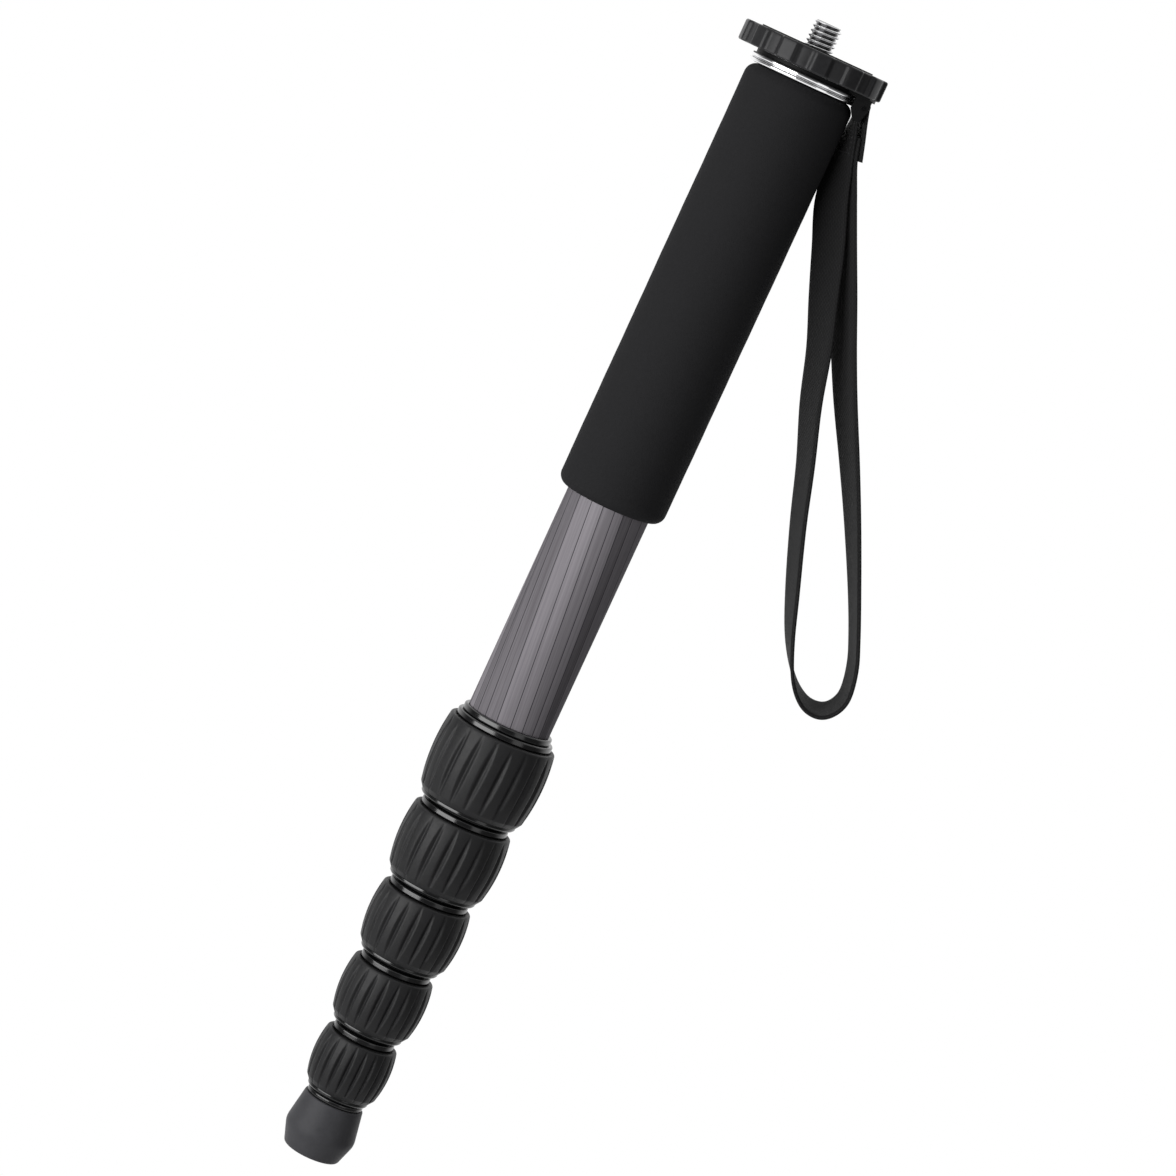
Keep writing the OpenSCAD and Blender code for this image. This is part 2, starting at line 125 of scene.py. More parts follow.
def place_on_piece(tree, stretch=(1, 1, 1)):
    where = tree.nodes.new("ShaderNodeTexCoord").outputs["Object"]
    mapping = tree.nodes.new("ShaderNodeMapping")
    mapping.inputs["Scale"].default_value = stretch
    tree.links.new(where, mapping.inputs["Vector"])
    return mapping.outputs[0]


def grain(tree, vector, scale, detail=3.0, roughness=0.6):
    node = tree.nodes.new("ShaderNodeTexNoise")
    tree.links.new(vector, node.inputs["Vector"])
    node.inputs["Scale"].default_value = scale
    node.inputs["Detail"].default_value = detail
    node.inputs["Roughness"].default_value = roughness
    return node.outputs[0]


def tint(tree, share, first, second):
    node = tree.nodes.new("ShaderNodeMix")
    node.data_type = "RGBA"
    feed(tree, node.inputs[0], share)
    feed(tree, node.inputs[6], first)
    feed(tree, node.inputs[7], second)
    return node.outputs[2]


def paint(tree, shader, colour, roughness):
    tree.links.new(colour, shader.inputs["Base Color"])
    tree.links.new(roughness, shader.inputs["Roughness"])


def relief(tree, shader, height, depth, strength=1.0):
    node = tree.nodes.new("ShaderNodeBump")
    node.inputs["Strength"].default_value = strength
    node.inputs["Distance"].default_value = depth
    tree.links.new(height, node.inputs["Height"])
    tree.links.new(node.outputs[0], shader.inputs["Normal"])


def dress(finish, *nodes):
    for node in nodes:
        mesh = frame["nodes"][node].data
        mesh.materials.clear()
        mesh.materials.append(finish)


carbon, tree, shader = new_finish("lacquered_carbon")
spot = place_on_piece(tree)
unwound = tree.nodes.new("ShaderNodeVectorRotate")
unwound.rotation_type = "Z_AXIS"
tree.links.new(spot, unwound.inputs["Vector"])
tree.links.new(sums(tree, "MULTIPLY", parts_of(tree, spot)[2], tape_climb), unwound.inputs["Angle"])
along_tape = tree.nodes.new("ShaderNodeMapping")
along_tape.inputs["Scale"].default_value = (1, 1, strand_stretch)
tree.links.new(unwound.outputs[0], along_tape.inputs["Vector"])
strands = grain(tree, along_tape.outputs[0], strand_scale, detail=5, roughness=0.65)
flat = parts_of(tree, unwound.outputs[0])
round_tube = sums(tree, "ARCTAN2", flat[0], sums(tree, "MULTIPLY", flat[1], -1))
strip_place = sums(tree, "ADD", sums(tree, "MULTIPLY", round_tube, strips_round / TURN), strip_start)
lap = tree.nodes.new("ShaderNodeTexVoronoi")
lap.feature = "DISTANCE_TO_EDGE"
strip = tree.nodes.new("ShaderNodeTexVoronoi")
for node in (lap, strip):
    node.voronoi_dimensions = "1D"
    node.inputs["Scale"].default_value = 1
    tree.links.new(strip_place, node.inputs["W"])
strand_tone = spread(tree, strands, 0.35, 0.65, 0.0, strand_share)
strip_tone = sums(tree, "MULTIPLY", parts_of(tree, strip.outputs["Color"])[0], strip_share)
tape_colour = tint(tree, sums(tree, "ADD", strand_tone, strip_tone), carbon_dark, carbon_light)
lap_line = spread(tree, lap.outputs["Distance"], lap_inner, lap_outer, 1.0, 0.0)
lapped = tint(tree, sums(tree, "MULTIPLY", lap_line, lap_strength), tape_colour, lap_dark)
paint(tree, shader, lapped, spread(tree, strands, GRAIN_LOW, GRAIN_HIGH, 0.50, 0.56))
shader.inputs["Metallic"].default_value = 0.45
shader.inputs["Specular Tint"].default_value = lacquer_tint
shader.inputs["Specular IOR Level"].default_value = 0.15
shader.inputs["Anisotropic"].default_value = 0.8
round_way = tree.nodes.new("ShaderNodeTangent")
round_way.direction_type = "RADIAL"
round_way.axis = "Z"
tree.links.new(round_way.outputs[0], shader.inputs["Tangent"])
laid = sums(tree, "SUBTRACT", strands, sums(tree, "MULTIPLY", lap_line, lap_sink))
relief(tree, shader, laid, depth=0.04 * MM, strength=0.5)
dress(carbon, *[f"tube_{k}" for k in range(1, TUBES + 1)])

# Slide bushings and collets: thin split sleeves of pale engineering plastic inside the locks. The
# bushings are glued on the tops of the inner tubes, and the collets grip the tubes from outside.
LOCKS = 5
ivory_low = (0.66, 0.63, 0.55, 1)
ivory_high = (0.78, 0.76, 0.69, 1)
white_low = (0.70, 0.70, 0.70, 1)
white_high = (0.82, 0.82, 0.81, 1)


def mottled(name, low, high, rough, scale, detail=4, roughness=0.6, stretch=(1, 1, 1)):
    """A finish whose colour and gloss both follow one grain. It gives the grain back too."""
    made, tree, shader = new_finish(name)
    cloud = grain(tree, place_on_piece(tree, stretch), scale, detail, roughness)
    paint(tree, shader, tint(tree, cloud, low, high), spread(tree, cloud, GRAIN_LOW, GRAIN_HIGH, *rough))
    return made, tree, shader, cloud


def pitted(tree, shader, scale, detail, depth, strength, roughness=0.6):
    """A fine relief from a grain of its own, so many millimetres deep."""
    relief(tree, shader, grain(tree, place_on_piece(tree), scale, detail, roughness), depth * MM, strength)


for name, low, high, first, pieces in (
    ("ivory_bushing", ivory_low, ivory_high, 2, "bushing"),
    ("white_collet", white_low, white_high, 1, "collet"),
):
    plastic, tree, shader, cloud = mottled(name, low, high, rough=(0.42, 0.56), scale=260)
    pitted(tree, shader, scale=4200, detail=2, depth=0.02, strength=0.4)
    dress(plastic, *[f"{pieces}_{k}" for k in range(first, first + LOCKS)])

# Ferrules, lock nuts and the ring above the foot: moulded in gloss black plastic. A ferrule is glued
# on the end of its tube and carries two bright rings and the thread that the nut runs on.
gloss_low = (0.0030, 0.0030, 0.0033, 1)
gloss_high = (0.0060, 0.0060, 0.0065, 1)
gloss_black, tree, shader, cloud = mottled("gloss_black", gloss_low, gloss_high, rough=(0.15, 0.22), scale=140)
shader.inputs["IOR"].default_value = 1.60
dress(gloss_black, "foot_ring")
for k in range(1, LOCKS + 1):
    dress(gloss_black, f"ferrule_{k}", f"lock_nut_{k}")

# Rubber sleeves: barrel-shaped grips moulded in matte black rubber and pushed over the lock nuts.
# Lens-shaped flutes run down each one, deepest in the middle, for a hand to turn it by.
edge_rise, toe_rise, bore_rise = 4.1, 2.5, 2.25
crest_share = 0.44
taper = 2.0
rim_shown = 0.3
toe_slope, toe_round = 0.7, 0.35
sleeve_bands = 30
sleeve_edge_round = 0.9
flutes = 22
points_on_flute = 16
flute_depth = 0.95
flute_share = 0.52
flute_slant = 2.2
flute_reach = 1.06
flute_tip = 0.3
flute_clear = 0.3
lens_power = 2.6
rubber_low = (0.0095, 0.0095, 0.0102, 1)
rubber_high = (0.0165, 0.0165, 0.0174, 1)


def add_piece(name, data):
    piece = bpy.data.objects.new(name, data)
    bpy.context.scene.collection.objects.link(piece)
    return piece


def kept(name, shell):
    """Keeps a shell as the mesh of a new piece, with its faces outwards."""
    bmesh.ops.recalc_face_normals(shell, faces=shell.faces)
    mesh = bpy.data.meshes.new(name)
    shell.to_mesh(mesh)
    shell.free()
    return add_piece(name, mesh)


def softened(corners, steps=6):
    """Rounds the corners (radius, height, rounding) of a closed outline, in millimetres."""
    outline = []
    for i, (across, high, rounding) in enumerate(corners):
        here = Vector((across, high))
        back = Vector(corners[i - 1][:2]) - here
        ahead = Vector(corners[(i + 1) % len(corners)][:2]) - here
        if rounding <= 0:
            outline.append(here)
            continue
        lean = math.tan(back.angle(ahead) / 2)
        reach = min(rounding / lean, 0.49 * back.length, 0.49 * ahead.length)
        start, end = here + back.normalized() * reach, here + ahead.normalized() * reach
        for step in range(steps + 1):
            t = step / steps
            outline.append(start * (1 - t) ** 2 + here * (2 * t * (1 - t)) + end * t * t)
    return outline


def turned(name, outline, sides):
    """Makes a piece of a closed outline of (radius, height), in millimetres, turned round Z."""
    shell = bmesh.new()
    spokes = [(math.cos(TURN * j / sides), math.sin(TURN * j / sides)) for j in range(sides)]
    rings = []
    for across, high in outline:
        if across < 1e-6:
            rings.append([shell.verts.new((0, 0, high * MM))] * sides)
        else:
            rings.append([shell.verts.new((across * MM * c, across * MM * s, high * MM)) for c, s in spokes])
    for i, ring in enumerate(rings):
        after = rings[(i + 1) % len(rings)]
        for j in range(sides):
            k = (j + 1) % sides
            corners = list(dict.fromkeys((ring[j], ring[k], after[k], after[j])))
            if len(corners) > 2:
                shell.faces.new(corners).smooth = True
    return kept(name, shell)


def start_tree(name, *sizes):
    """A new tree with named inputs. It gives back the tree, its sums and its inputs."""
    tree = bpy.data.node_groups.new(name, "GeometryNodeTree")
    tree.interface.new_socket("Mesh", in_out="INPUT", socket_type="NodeSocketGeometry")
    for size in sizes:
        tree.interface.new_socket(size, in_out="INPUT", socket_type="NodeSocketFloat")
    tree.interface.new_socket("Finish", in_out="INPUT", socket_type="NodeSocketMaterial")
    tree.interface.new_socket("Mesh", in_out="OUTPUT", socket_type="NodeSocketGeometry")
    return tree, partial(sums, tree), tree.nodes.new("NodeGroupInput").outputs


def end_tree(tree, given, mesh):
    realized = tree.nodes.new("GeometryNodeRealizeInstances")
    smooth = tree.nodes.new("GeometryNodeSetShadeSmooth")
    finish = tree.nodes.new("GeometryNodeSetMaterial")
    tree.links.new(mesh, realized.inputs[0])
    tree.links.new(realized.outputs[0], smooth.inputs[0])
    tree.links.new(smooth.outputs[0], finish.inputs["Geometry"])
    tree.links.new(given["Finish"], finish.inputs["Material"])
    tree.links.new(finish.outputs[0], tree.nodes.new("NodeGroupOutput").inputs[0])


def from_axis(tree, x, y):
    square = sums(tree, "ADD", sums(tree, "MULTIPLY", x, x), sums(tree, "MULTIPLY", y, y))
    return sums(tree, "SQRT", square)


def round_axis(tree):
    """The position of each point: across, back, up, distance from the axis and angle round it."""
    x, y, z = parts_of(tree, tree.nodes.new("GeometryNodeInputPosition").outputs[0])
    return x, y, z, from_axis(tree, x, y), sums(tree, "ARCTAN2", y, x)


def off_middle(tree, counted):
    """How far a count is from the middle of its own step: 0 there, and a half at the ends."""
    return sums(tree, "ABSOLUTE", sums(tree, "SUBTRACT", sums(tree, "FRACT", counted), 0.5))


def sunk(tree, mesh, place, depth):
    """Moves each point in towards the axis by its depth."""
    x, y, z, out, angle = place
    share = sums(tree, "DIVIDE", sums(tree, "SUBTRACT", out, depth), sums(tree, "MAXIMUM", out, 1e-6))
    moved = tree.nodes.new("ShaderNodeCombineXYZ")
    tree.links.new(sums(tree, "MULTIPLY", x, share), moved.inputs[0])
    tree.links.new(sums(tree, "MULTIPLY", y, share), moved.inputs[1])
    tree.links.new(z, moved.inputs[2])
    node = tree.nodes.new("GeometryNodeSetPosition")
    tree.links.new(mesh, node.inputs["Geometry"])
    tree.links.new(moved.outputs[0], node.inputs["Position"])
    return node.outputs[0]


def shaped(piece, tree, finish, **sizes):
    """Runs a tree on a piece, keeps what it makes as a plain mesh, and takes the tree off."""
    modifier = piece.modifiers.new(tree.name, "NODES")
    modifier.node_group = tree
    for item in tree.interface.items_tree:
        if item.in_out == "INPUT" and item.name in sizes:
            modifier[item.identifier] = float(sizes[item.name])
        elif item.name == "Finish":
            modifier[item.identifier] = finish
    bpy.context.view_layer.update()
    graph = bpy.context.evaluated_depsgraph_get()
    made = bpy.data.meshes.new_from_object(piece.evaluated_get(graph), depsgraph=graph)
    piece.modifiers.clear()
    piece.data = made
    made.name = piece.name
    return piece


fluting, calc, given = start_tree("press_flutes", "Flutes", "Depth", "Share", "Slant", "Top", "Bottom", "Core")
place = round_axis(fluting)
x, y, z, out, angle = place
climbed = calc("ADD", angle, calc("MULTIPLY", calc("SUBTRACT", given["Top"], z), given["Slant"]))
from_flute = off_middle(fluting, calc("DIVIDE", calc("MULTIPLY", climbed, given["Flutes"]), TURN))
down = spread(fluting, z, given["Bottom"], given["Top"], -flute_reach, flute_reach)
lens = calc("MAXIMUM", calc("SUBTRACT", 1, calc("POWER", calc("ABSOLUTE", down), lens_power)), 0.0)
widened = calc("ADD", calc("MULTIPLY", lens, 1 - flute_tip), flute_tip)
half = calc("MULTIPLY", calc("MULTIPLY", given["Share"], 0.5), widened)
groove = spread(fluting, from_flute, 0, half, 1, 0, smooth=True)
outside = calc("GREATER_THAN", out, given["Core"])
depth = calc("MULTIPLY", calc("MULTIPLY", given["Depth"], lens), calc("MULTIPLY", groove, outside))
end_tree(fluting, given, sunk(fluting, given["Mesh"], place, depth))

rubber, tree, shader, cloud = mottled("matte_rubber", rubber_low, rubber_high, rough=(0.42, 0.52), scale=420)
shader.inputs["Specular IOR Level"].default_value = 0.27
pitted(tree, shader, scale=5200, detail=3, depth=0.05, strength=0.45, roughness=0.7)

for k in range(1, LOCKS + 1):
    low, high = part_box(f"lock_grip_{k}")
    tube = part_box(f"tube_{k}")[1].x / MM
    top, bottom, crest = high.z / MM, low.z / MM, high.x / MM
    edge, toe, bore = tube + edge_rise, tube + toe_rise + toe_slope * rim_shown, tube + bore_rise
    reach, swell = crest_share * (top - bottom), crest - edge
    arc = (reach * reach + swell * swell) / (2 * swell)
    barrel = []
    for i in range(sleeve_bands + 1):
        along = (top - bottom - taper) * i / sleeve_bands
        out_by = crest - arc + math.sqrt(arc * arc - (along - reach) ** 2)
        rounding = 0.0 if 0 < i < sleeve_bands else sleeve_edge_round
        barrel.append((out_by, top - along, rounding))
    # The rows beside both ends go, to leave room for the roundings there
    del barrel[1:3], barrel[-4:-1]
    inside = [(toe, bottom + rim_shown, toe_round), (bore, bottom + rim_shown, 0.0), (bore, top, 0.0)]
    sleeve = turned(f"fluted_sleeve_{k}", softened(barrel + inside, steps=7), flutes * points_on_flute)
    shaped(
        sleeve, fluting, rubber, Flutes=flutes, Depth=flute_depth * MM, Share=flute_share,
        Slant=flute_slant, Top=top * MM, Bottom=bottom * MM, Core=(toe + flute_clear) * MM,
    )
    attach(sleeve, f"lock_{k}")
    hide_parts(f"lock_grip_{k}")

# Nut rims: the rounded rim at the lower end of each lock nut, which shows below the rubber sleeve.
# It is moulded in one with the nut, in the same gloss black plastic, and turns with it.
rim_out, rim_low, rim_in = 2.5, 2.05, 1.3
rim_bevel, rim_round = 0.55, 0.3
ROUND_SIDES = 128
for k in range(1, LOCKS + 1):
    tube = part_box(f"tube_{k}")[1].x / MM
    nut_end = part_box(f"lock_nut_{k}")[0].z / MM
    sleeve_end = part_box(f"lock_grip_{k}")[0].z / MM + rim_shown
    rim_outline = softened([
        (tube + rim_in, nut_end, 0), (tube + rim_low, nut_end, rim_round),
        (tube + rim_out, nut_end + rim_bevel, rim_round), (tube + rim_out, sleeve_end, rim_round),
        (tube + rim_in, sleeve_end, 0),
    ], steps=8)
    nut_rim = turned(f"nut_rim_{k}", rim_outline, ROUND_SIDES)
    nut_rim.data.materials.append(gloss_black)
    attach(nut_rim, f"lock_{k}")

# Foot: a tapered block of harder grey-black rubber, moulded over a brass insert and screwed to the
# plug in the last tube. It is widest a little above its flat sole, which has a shallow hollow.
foot_low, foot_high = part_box("rubber_foot")
last_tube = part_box("tube_6")[1].x / MM
sole, crown = foot_low.z / MM, foot_high.z / MM
widest, widest_up, widest_round = foot_high.x / MM, 7.6, 6.0
crown_r, crown_round = last_tube + 3.6, 0.7
sole_r, sole_round = last_tube + 2.95, 1.2
hollow_r, hollow_rim_r, hollow_up, hollow_round = 4.5, 5.1, 0.8, 0.3
flange_r, flange_down = last_tube + 1.52, 1.5
socket_r, socket_down = 5.02, 10.8
foot_grey_low = (0.049, 0.049, 0.053, 1)
foot_grey_high = (0.077, 0.077, 0.083, 1)
foot_rubber, tree, shader, cloud = mottled(
    "foot_rubber", foot_grey_low, foot_grey_high, rough=(0.42, 0.52), scale=300,
)
shader.inputs["Specular IOR Level"].default_value = 0.12
pitted(tree, shader, scale=4200, detail=3, depth=0.05, strength=0.5, roughness=0.7)
foot_outline = softened([
    (0, sole + hollow_up, 0), (hollow_r, sole + hollow_up, hollow_round), (hollow_rim_r, sole, hollow_round),
    (sole_r, sole, sole_round), (widest, sole + widest_up, widest_round), (crown_r, crown, crown_round),
    (flange_r, crown, 0), (flange_r, crown - flange_down, 0), (socket_r, crown - flange_down, 0),
    (socket_r, crown - socket_down, 0), (0, crown - socket_down, 0),
], steps=8)
foot = turned("moulded_foot", foot_outline, ROUND_SIDES)
foot.data.materials.append(foot_rubber)
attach(foot, "section_6")
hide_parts("rubber_foot")

# Plugs, screws and the foot's insert: turned from aluminium, steel and brass. They hold the head
# and the foot in the tubes' ends, and their fine turning lines run round them.
turning_stretch = (0.02, 0.02, 1)
rough_by = 0.07
for name, metal_low, metal_high, rough, nodes in (
    ("turned_aluminium", (0.52, 0.52, 0.53, 1), (0.70, 0.70, 0.71, 1), 0.36, ("head_plug", "foot_plug")),
    ("screw_steel", (0.25, 0.25, 0.26, 1), (0.36, 0.36, 0.37, 1), 0.38, ("platform_screws",)),
    ("turned_brass", (0.52, 0.37, 0.15, 1), (0.68, 0.50, 0.23, 1), 0.32, ("foot_insert",)),
):
    metal, tree, shader, rings = mottled(
        name, metal_low, metal_high, rough=(rough - rough_by, rough + rough_by), scale=5000, detail=3,
        stretch=turning_stretch,
    )
    shader.inputs["Metallic"].default_value = 1.0
    relief(tree, shader, rings, depth=0.02 * MM, strength=0.5)
    dress(metal, *nodes)

# Neck and strap pin: the neck is cast aluminium, anodised black, with two cheeks that hold a plain
# pin of blackened steel for the strap. Its cap is clamped between the platform disc and the first tube.
neck_low = (0.003, 0.003, 0.0032, 1)
neck_high = (0.006, 0.006, 0.0064, 1)
pin_low = (0.012, 0.012, 0.0125, 1)
pin_high = (0.022, 0.022, 0.023, 1)
scratch_stretch = (1, 0.1, 1)
neck_black, tree, shader, cloud = mottled("anodised_neck", neck_low, neck_high, rough=(0.42, 0.54), scale=500)
shader.inputs["Specular IOR Level"].default_value = 0.12
pitted(tree, shader, scale=6000, detail=2, depth=0.02, strength=0.4)
dress(neck_black, "neck_collar")
black_pin, tree, shader, scratches = mottled(
    "black_pin", pin_low, pin_high, rough=(0.26, 0.38), scale=3000, detail=3, stretch=scratch_stretch,
)
shader.inputs["Metallic"].default_value = 1.0
dress(black_pin, "strap_pin")

# Trim ring: a narrow ring of polished, plated metal with two round ridges, pressed over the neck's
# skirt above the grip.
plate_low = (0.90, 0.90, 0.91, 1)
plate_high = (0.97, 0.97, 0.98, 1)
plated, tree, shader, haze = mottled("polished_plating", plate_low, plate_high, rough=(0.08, 0.15), scale=900)
shader.inputs["Metallic"].default_value = 1.0
dress(plated, "trim_ring")

# Platform disc: a die-cast aluminium disc, anodised in satin black, with finger scallops round its
# rim. It is screwed down through the neck into the plug in the tube.
disc_low, disc_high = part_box("platform_disc")
disc_r, disc_top, disc_bottom = disc_high.x / MM, disc_high.z / MM, disc_low.z / MM
disc_round, disc_land, disc_edge = 0.9, 2.4, 1.6
scallops = 13
points_on_scallop = 28
scallop_depth = 1.2
scallop_share = 0.62
scallop_floor = 0.5
scallop_band = 4.6
pad_seat_r, pad_hole_r, pad_seat, seat_round = 19.02, 8.0, -1.5, 0.15
stud_waist_r = 3.98
satin_low = (0.019, 0.019, 0.0201, 1)
satin_high = (0.029, 0.029, 0.0308, 1)
scalloping, calc, given = start_tree("press_scallops", "Scallops", "Depth", "Share", "Rim", "Band")
place = round_axis(scalloping)
x, y, z, out, angle = place
from_scallop = off_middle(scalloping, calc("DIVIDE", calc("MULTIPLY", angle, given["Scallops"]), TURN))
near = calc("MINIMUM", calc("DIVIDE", from_scallop, calc("MULTIPLY", given["Share"], 0.5)), 1)
hollow = spread(scalloping, near, scallop_floor, 1.0, 1, 0, smooth=True)
band_start = calc("SUBTRACT", given["Rim"], given["Band"])
band_end = calc("SUBTRACT", given["Rim"], calc("MULTIPLY", given["Band"], 0.5))
at_rim = spread(scalloping, out, band_start, band_end, 0, 1, smooth=True)
depth = calc("MULTIPLY", calc("MULTIPLY", hollow, at_rim), given["Depth"])
end_tree(scalloping, given, sunk(scalloping, given["Mesh"], place, depth))
satin_black, tree, shader, cloud = mottled("anodised_disc", satin_low, satin_high, rough=(0.30, 0.38), scale=700)
shader.inputs["Specular IOR Level"].default_value = 0.24
pitted(tree, shader, scale=5000, detail=2, depth=0.02, strength=0.12)
disc_outline = softened([
    (stud_waist_r, disc_bottom, 0), (disc_r - disc_land, disc_bottom, 0), (disc_r, disc_bottom, disc_round),
    (disc_r, disc_bottom + disc_edge, 0), (disc_r, disc_top - disc_edge, 0), (disc_r, disc_top, disc_round),
    (disc_r - disc_land, disc_top, 0), (pad_seat_r, disc_top, seat_round), (pad_seat_r, pad_seat, 0),
    (pad_hole_r, pad_seat, 0), (pad_hole_r, disc_top, seat_round), (stud_waist_r, disc_top, 0),
])
disc = turned("scalloped_disc", disc_outline, scallops * points_on_scallop)
shaped(
    disc, scalloping, satin_black, Scallops=scallops, Depth=scallop_depth * MM, Share=scallop_share,
    Rim=disc_r * MM, Band=scallop_band * MM,
)
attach(disc, "upper")
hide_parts("platform_disc")

# Platform pad: a ring of soft black rubber set into the disc, with fine ribs moulded round its top so
# that the camera's base doesn't slip on it.
pad_low, pad_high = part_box("platform_pad")
pad_r, pad_top, pad_bottom = pad_high.x / MM, pad_high.z / MM, pad_low.z / MM
pad_ribs = 10
rib_depth = 0.28
rib_clear = 0.01
rows_on_rib = 8
pad_dark = (0.012, 0.012, 0.012, 1)
pad_pale = (0.024, 0.024, 0.024, 1)
ribbing, calc, given = start_tree("press_ribs", "Pitch", "Depth", "Inner", "Top")
x, y, z, out, angle = round_axis(ribbing)
ribs_out = calc("DIVIDE", calc("SUBTRACT", out, given["Inner"]), given["Pitch"])
wave = calc("COSINE", calc("MULTIPLY", ribs_out, TURN))
valley = spread(ribbing, wave, 1, -1, 0, calc("MULTIPLY", given["Depth"], -1))
lowered = ribbing.nodes.new("ShaderNodeCombineXYZ")
ribbing.links.new(calc("MULTIPLY", valley, calc("GREATER_THAN", z, given["Top"])), lowered.inputs[2])
pressed = ribbing.nodes.new("GeometryNodeSetPosition")
ribbing.links.new(given["Mesh"], pressed.inputs["Geometry"])
ribbing.links.new(lowered.outputs[0], pressed.inputs["Offset"])
end_tree(ribbing, given, pressed.outputs[0])
pad_rubber, tree, shader, specks = mottled(
    "pad_rubber", pad_dark, pad_pale, rough=(0.68, 0.84), scale=2500, detail=3,
)
shader.inputs["Specular IOR Level"].default_value = 0.2
relief(tree, shader, specks, depth=0.03 * MM, strength=0.5)
pad_width, pad_rows = pad_r - pad_hole_r, pad_ribs * rows_on_rib
pad_outline = [(pad_hole_r, pad_bottom), (pad_r, pad_bottom)]
pad_outline += [(pad_r - pad_width * i / pad_rows, pad_top) for i in range(pad_rows + 1)]
pad = turned("ribbed_pad", pad_outline, ROUND_SIDES)
shaped(
    pad, ribbing, pad_rubber, Pitch=pad_width / pad_ribs * MM, Depth=rib_depth * MM,
    Inner=pad_hole_r * MM, Top=(pad_top - rib_clear) * MM,
)
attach(pad, "upper")
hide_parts("platform_pad")

# Camera stud: a bright steel post, turned and plated, with a coarse camera thread on its upper end.
# Its plain lower end is fixed in the head's plug.
stud_low, stud_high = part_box("camera_stud")
stud_top, stud_end, major = stud_high.z / MM, stud_low.z / MM, stud_high.x / MM
stud_sides = 84
stud_chamfer, chamfer_rows = 0.8, 8
top_bevel = 0.3
thread_pitch, rows_on_pitch = 1.5875, 14
thread_depth = 0.92
thread_start, thread_clear = -0.4, 0.01
crest_flat, root_flat = 0.12, 0.88
# How far below the crest the painted shade in the thread's roots ends, in millimetres
unshaded_crest_depth = 0.40
tail_r, tail_chamfer = 3.175, 0.4
waist_r, waist_end = stud_waist_r - 0.02, -7.3
steel_low = (0.62, 0.62, 0.63, 1)
steel_high = (0.80, 0.80, 0.81, 1)
# Painted shade: the dark colour painted into the thread's roots
painted_root_shade = (0.13, 0.13, 0.133, 1)
steel_stretch = (0.2, 0.2, 1)
threading, calc, given = start_tree("cut_thread", "Pitch", "Depth", "Major", "Start")
place = round_axis(threading)
x, y, z, out, angle = place
wound = calc("SUBTRACT", calc("DIVIDE", z, given["Pitch"]), calc("DIVIDE", angle, TURN))
from_crest = calc("MULTIPLY", off_middle(threading, wound), 2)
flank = spread(threading, from_crest, crest_flat, root_flat, 0, 1)
flank_r = calc("SUBTRACT", given["Major"], calc("MULTIPLY", flank, given["Depth"]))
cut = calc("MAXIMUM", calc("SUBTRACT", out, flank_r), 0)
threaded = calc("GREATER_THAN", z, given["Start"])
end_tree(threading, given, sunk(threading, given["Mesh"], place, calc("MULTIPLY", cut, threaded)))
bright_steel, tree, shader = new_finish("bright_steel")
haze = grain(tree, place_on_piece(tree, steel_stretch), scale=3000, detail=3)
spot = parts_of(tree, place_on_piece(tree))
out = from_axis(tree, spot[0], spot[1])
# Painted shade: the steel's colour darkens from the crests down into the thread's roots
clear_of_root_shade = spread(tree, out, (major - thread_depth) * MM, (major - unshaded_crest_depth) * MM, 0, 1, smooth=True)
steel = tint(tree, haze, steel_low, steel_high)
shaded_thread_colour = tint(tree, clear_of_root_shade, painted_root_shade, steel)
paint(tree, shader, shaded_thread_colour, spread(tree, haze, GRAIN_LOW, GRAIN_HIGH, 0.16, 0.27))
shader.inputs["Metallic"].default_value = 1.0
post = [(0, stud_end), (tail_r - tail_chamfer, stud_end), (tail_r, stud_end + tail_chamfer)]
post += [(tail_r, waist_end), (waist_r, waist_end), (waist_r, thread_start), (major, thread_start)]
thread_l = stud_top - stud_chamfer - thread_start
rows = int(thread_l / (thread_pitch / rows_on_pitch))
post += [(major, thread_start + thread_l * i / rows) for i in range(1, rows + 1)]
for i in range(1, chamfer_rows + 1):
    bevelled = stud_chamfer * i / chamfer_rows
    post.append((major - bevelled, stud_top - stud_chamfer + bevelled))
post += [(major - stud_chamfer - top_bevel, stud_top), (0, stud_top)]
stud = turned("threaded_stud", post, stud_sides)
shaped(
    stud, threading, bright_steel, Pitch=thread_pitch * MM, Depth=thread_depth * MM, Major=major * MM,
    Start=(thread_start + thread_clear) * MM,
)
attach(stud, "upper")
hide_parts("camera_stud")

# Foam grip: a tube of matte black closed-cell foam, cut to length, with rounded ends. It is stretched
# over the first tube and glued, so its skin is not quite even.
foam_low, foam_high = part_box("foam_grip")
foam_r, foam_top, foam_bottom = foam_high.x / MM, foam_high.z / MM, foam_low.z / MM
foam_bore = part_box("tube_1")[1].x / MM + 0.02
foam_skin = 0.3
foam_round, corner_steps = 3.8, 12
foam_rows, foam_sides = 200, 160
foam_unevenness, uneven_middle, uneven_share = 0.10, 0.5, 0.22
foam_swells = ((1.0, 0.11, 2, 0.0), (0.7, 0.31, -3, 1.1), (0.5, 0.73, 5, 2.3))
foam_cells = 2300
foam_dark = (0.0145, 0.0145, 0.0153, 1)
foam_pale = (0.0270, 0.0270, 0.0286, 1)
foam_black, tree, shader, mottle = mottled(
    "foam_black", foam_dark, foam_pale, rough=(0.82, 0.96), scale=900, detail=5, roughness=0.7,
)
cells = tree.nodes.new("ShaderNodeTexVoronoi")
cells.inputs["Scale"].default_value = foam_cells
tree.links.new(place_on_piece(tree), cells.inputs["Vector"])
shader.inputs["Specular IOR Level"].default_value = 0.12
relief(tree, shader, sums(tree, "ADD", cells.outputs["Distance"], mottle), depth=0.12 * MM, strength=0.6)
quarter = [math.pi / 2 * i / corner_steps for i in range(corner_steps + 1)]
